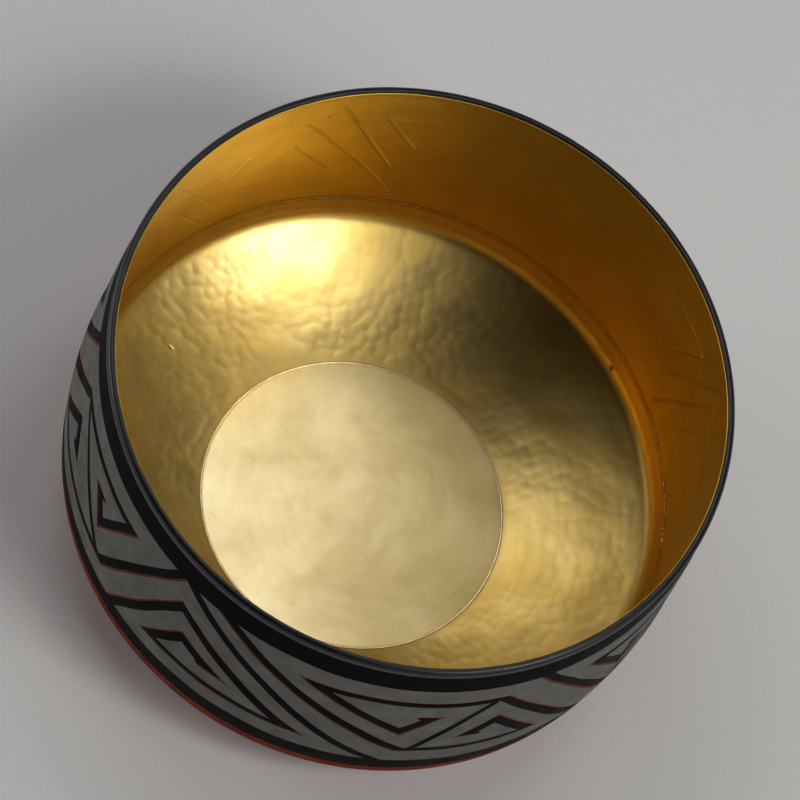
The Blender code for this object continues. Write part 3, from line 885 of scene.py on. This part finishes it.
def make_floor_disc():
    """The smooth disc let into the dish, very slightly hollow, with an eased edge and painted shade that
    darkens one side.
    """
    turns = around(720)
    corner_radius, hollow_depth = 0.00014, 0.0007
    radii = np.linspace(AXIS_GAP, FLOOR_RADIUS - corner_radius, 80)
    hollow = hollow_depth * (1.0 - (radii / FLOOR_RADIUS) ** 2)
    top, bottom = RIM_TOP - FLOOR_TOP, RIM_TOP - FLOOR_BOTTOM
    corner = arc((FLOOR_RADIUS - corner_radius, top + corner_radius), corner_radius, 90.0, 0.0, 6)[1:]
    path = np.array([*zip(radii, top + hollow), *corner, (FLOOR_RADIUS, bottom), (AXIS_GAP, bottom)])
    x, y = radii[:, None] * np.cos(turns), radii[:, None] * np.sin(turns)
    waves = swell(x, y, 0.016, seed=41) * 0.000010 + swell(x, y, 0.055, seed=42) * 0.00004
    radius, depth = all_round(path[:, 0], turns), all_round(path[:, 1], turns)
    depth[:len(radii)] += waves * ramp(FLOOR_RADIUS - radii, 0.003)[:, None]
    # Painted shade: the disc darkens towards the turn set above, as if less lit there, on top of the dark
    # edge.
    dim = ramp(np.outer(path[:, 0], np.cos(turns - PAINTED_SHADE_TURN)) / FLOOR_RADIUS + 0.6, 1.4)
    edge_dirt = 0.05 * bell(path[:, 0] - FLOOR_RADIUS, 0.00025)
    dirt_and_shade = edge_dirt[:, None] + 0.26 * eased(dim)
    piece = skin("floor_brass", FLOOR_BRASS, radius, depth, turns, cyclic=False, tarnish_and_shade=dirt_and_shade)
    settle(piece, "brass", "floor_disc")


def make_seam_bead():
    """The low bead of solder inside the seam, with small blobs that are largest along one stretch."""
    turns = around(4320)
    random = np.random.default_rng(5)
    seam_radius, half = 0.075, 0.00036
    lumpy_turn, lumpy_reach = 33.0, 26.0
    blobs = np.zeros(len(turns))
    for blob_turn in np.concatenate([random.uniform(16.0, 50.0, 46), random.uniform(-180.0, 180.0, 60)]):
        size = random.uniform(0.00016, 0.00034)
        gap = turn_between(turns, math.radians(blob_turn)) * seam_radius
        blobs = np.maximum(blobs, bell(gap, size) * random.uniform(0.5, 1.0))
    stretch = np.clip(1.25 - np.abs(np.degrees(turns) - lumpy_turn) / lumpy_reach, 0.16, 1.0)
    height = 0.00005 + 0.00030 * blobs * stretch + 0.00003 * ripple(turns, 0.0, 0.004, seed=51)
    middle = SEAM_DEPTH - GAP / 2
    angles = np.linspace(0.0, math.pi, 9)
    depths = middle + half * np.cos(angles)
    front = wall_radius(depths)[:, None] - 0.00002 - np.sin(angles)[:, None] * height[None, :]
    back_depths = middle + half * np.array([-0.8, 0.8])
    radius = np.concatenate([all_round(wall_radius(back_depths) + 0.00012, turns), front])
    depth = all_round(np.concatenate([back_depths, depths]), turns)
    settle(skin("seam_solder", SEAM_SOLDER, radius, depth, turns), "solder", "seam_bead")


def make_disc_solder():
    """The thin line of solder that fills the joint round the floor disc."""
    turns = around(1440)
    middle, half = FLOOR_RADIUS + GAP / 2, 0.00030
    top = RIM_TOP - FLOOR_TOP
    height = 0.00016 + 0.00003 * ripple(turns, 0.0, 0.009, seed=52)
    angles = np.linspace(math.pi, 0.0, 9)
    radius = all_round(np.concatenate([middle + half * np.cos(angles), [middle]]), turns)
    crown = top + 0.00006 - np.sin(angles)[:, None] * height[None, :]
    depth = np.vstack([crown, np.full((1, len(turns)), top + 0.0003)])
    settle(skin("disc_solder", DISC_SOLDER, radius, depth, turns), "solder")


# ---- the outside ----

def make_lip():
    """The rounded black lip outside the brass edge."""
    turns = around(720)
    inner, outer = LIP_RADIUS - LIP_PAINT, LIP_RADIUS
    edge, big, small = 0.00030, 0.00110, 0.00020
    path = np.array([*arc((inner + edge, edge), edge, 180.0, 90.0, 7),
                     *arc((outer - big, big), big, 90.0, 0.0, 12),
                     *arc((outer - small, LIP_DEPTH - small), small, 0.0, -90.0, 5),
                     *arc((inner + small, LIP_DEPTH - small), small, -90.0, -180.0, 5)])
    high = bell(path[:, 1], 0.0012)[:, None]
    radius = path[:, :1] - np.abs(relief(turns, path[:, 1], 0.02, seed=61)) * 0.00003 * high
    depth = path[:, 1:] + np.abs(relief(turns, path[:, 0], 0.045, seed=62)) * 0.00008 * high
    settle(skin("lip_paint", LIP_BLACK, radius, depth, turns), "black_coat", "rim_ring")


def make_ground():
    """The red ground that the black and stone colours lie on."""
    turns = around(720)
    depths = np.linspace(LIP_DEPTH + LIP_JOINT, SEAM_DEPTH - 0.0001, 60)
    outer, outer_depth = wall_point(depths, GROUND[1])
    inner, inner_depth = wall_point(depths[::6], GROUND[0])
    radius = all_round(np.concatenate([outer, inner[::-1]]), turns)
    depth = all_round(np.concatenate([outer_depth, inner_depth[::-1]]), turns)
    settle(skin("red_ground", RED, radius, depth, turns), "red_coat")


def make_under_paint():
    """The red-brown outside of the dish, with the flat round foot that the bowl stands on."""
    turns = around(960)
    inner = FLOOR_RADIUS + GAP
    corner_radius = 0.0004
    outside = spread(dish_path(SHEET + GAP + UNDER_COAT, inner), 110)
    inside = spread(dish_path(SHEET + GAP, inner), 20)[::-1]
    lengths = lengths_of(outside)
    fade = (ramp(lengths - 0.004, 0.006) * ramp(lengths[-1] - lengths, 0.003))[:, None]
    push = -0.00006 * hammer_marks(turns, lengths, outside[:, 0]) * fade
    push += relief(turns, lengths, 0.030, seed=71) * 0.00005 * fade
    rows = outside[:, None, :] + outwards(outside)[:, None, :] * push[:, :, None]
    seat = RIM_TOP - FLOOR_BOTTOM + GAP
    before = np.array([(AXIS_GAP, seat), (inner - GAP, seat), *inside])
    foot_edge = float(outside[-1][0]) - 0.0006
    corner = arc((foot_edge - corner_radius, RIM_TOP - corner_radius), corner_radius, 0.0, -90.0, 6)
    flat_foot = [(radius, RIM_TOP) for radius in np.linspace(foot_edge - 0.001, AXIS_GAP, 30)]
    after = np.array([*corner, *flat_foot])
    radius = np.concatenate([all_round(before[:, 0], turns), rows[:, :, 0], all_round(after[:, 0], turns)])
    depth = np.concatenate([all_round(before[:, 1], turns), rows[:, :, 1], all_round(after[:, 1], turns)])
    settle(skin("under_paint", UNDER_RED, radius, depth, turns, cyclic=False), "red_coat", "under_coat")


# ---- the studio ----

def make_stage():
    """A pale floor, and a sky that is bright low down and dark above."""
    size = 3.0
    corners = [(-size, -size, 0.0), (size, -size, 0.0), (size, size, 0.0), (-size, size, 0.0)]
    mesh = bpy.data.meshes.new("floor")
    mesh.from_pydata(corners, [], [(0, 1, 2, 3)])
    show("floor", mesh, pale_floor())
    world = bpy.data.worlds.new("studio")
    bpy.context.scene.world = world
    world.use_nodes = True
    tree = world.node_tree
    direction = node(tree, "ShaderNodeTexCoord").outputs["Generated"]
    rise = node(tree, "ShaderNodeSeparateXYZ", {0: direction}).outputs[2]
    glow = remap(tree, rise, 0.10, 0.38, 0.95, 0.015)
    tree.links.new(glow, tree.nodes["Background"].inputs["Strength"])
    tree.nodes["Background"].inputs["Color"].default_value = (0.93, 0.95, 1.0, 1.0)


def soft_light(name, direction, size, radiance, colour):
    """A rectangle of light that faces the bowl from a direction, and has this radiance seen from it."""
    data = bpy.data.lights.new(name, "AREA")
    data.shape = "RECTANGLE"
    data.size, data.size_y = size
    data.energy = radiance * math.pi * size[0] * size[1]
    data.color = colour
    light = bpy.data.objects.new(name, data)
    towards = Vector(direction).normalized()
    light.location = towards * LIGHT_DISTANCE
    light.rotation_euler = towards.to_track_quat("Z", "Y").to_euler()
    bpy.context.scene.collection.objects.link(light)


def make_lights():
    soft_light("key", (0.62, -0.20, 0.755), (0.54, 0.70), 2.2, (1.0, 0.99, 0.96))
    soft_light("glint", (0.52, -0.14, 0.84), (0.20, 0.20), 10.0, (1.0, 0.99, 0.97))
    soft_light("back", (0.11, 0.40, 0.91), (0.36, 0.46), 1.95, (1.0, 1.0, 1.0))
    soft_light("side", (-0.41, 0.36, 0.84), (0.58, 0.54), 1.35, (1.0, 1.0, 1.0))
    soft_light("left", (-0.93, -0.06, 0.37), (0.60, 0.42), 2.8, (0.97, 0.98, 1.0))


def make_camera():
    """The photo's camera, worked out from how the rim, the crease and the floor disc look in it."""
    data = bpy.data.cameras.new("camera")
    data.lens = 173.03
    data.sensor_width = 36.0
    data.clip_start, data.clip_end = 0.05, 20.0
    right = Vector((0.87037, 0.43854, 0.22391))
    up = Vector((-0.49239, 0.77291, 0.40020))
    back = Vector((0.00244, -0.45857, 0.88865))
    camera = bpy.data.objects.new("camera", data)
    rotation = Matrix((right, up, back)).transposed()
    camera.matrix_world = Matrix.Translation((0.0, -0.41797, RIM_TOP + 0.79023)) @ rotation.to_4x4()
    bpy.context.scene.collection.objects.link(camera)
    bpy.context.scene.camera = camera


WALL_BRASS = brass("wall_brass", roughness=0.34, streak=1.0, patina=0.25, anisotropy=0.20, scratched=0.0,
                   bright=(0.84, 0.625, 0.165), deep=(0.78, 0.535, 0.105))
DISH_BRASS = brass("dish_brass", roughness=0.34, streak=0.45, patina=0.30, anisotropy=0.0, scratched=0.3,
                   bright=(0.88, 0.665, 0.265), deep=(0.81, 0.58, 0.185))
FLOOR_BRASS = brass("floor_brass", roughness=0.32, streak=0.30, patina=0.25, anisotropy=0.0, scratched=0.4,
                    bright=(0.88, 0.745, 0.44), deep=(0.85, 0.685, 0.36))
SEAM_SOLDER = solder("seam_solder", dim=(0.72, 0.48, 0.15), bright=(0.90, 0.68, 0.30))
DISC_SOLDER = solder("disc_solder", dim=(0.88, 0.75, 0.47), bright=(0.95, 0.84, 0.60))
BLACK = paint("black_paint", colour=(0.0016, 0.0018, 0.0024), shade=(0.0032, 0.0034, 0.0043),
              roughness=0.50, brush=0.8, speckle=0.02, specular=0.05)
LIP_BLACK = paint("lip_paint", colour=(0.0045, 0.0054, 0.0078), shade=(0.007, 0.0082, 0.0115),
                  roughness=0.34, brush=0.4, speckle=0.02, specular=0.65)
STONE = paint("stone_paint", colour=(0.184, 0.177, 0.160), shade=(0.131, 0.126, 0.113),
              roughness=0.62, brush=0.9, speckle=0.12, specular=0.20)
RED = paint("red_ground", colour=(0.22, 0.028, 0.012), shade=(0.15, 0.019, 0.009),
            roughness=0.55, brush=0.6, speckle=0.03, specular=0.20)
UNDER_RED = paint("under_red", colour=(0.24, 0.036, 0.010), shade=(0.15, 0.023, 0.007),
                  roughness=0.55, brush=1.0, speckle=0.05, specular=0.08)

make_lip()
make_wall()
make_seam_bead()
make_dish()
make_floor_disc()
make_disc_solder()
make_ground()
make_under_paint()
make_border()
make_stage()
make_lights()
make_camera()
view = bpy.context.scene.view_settings
view.view_transform = "Standard"
view.look = "Medium High Contrast"
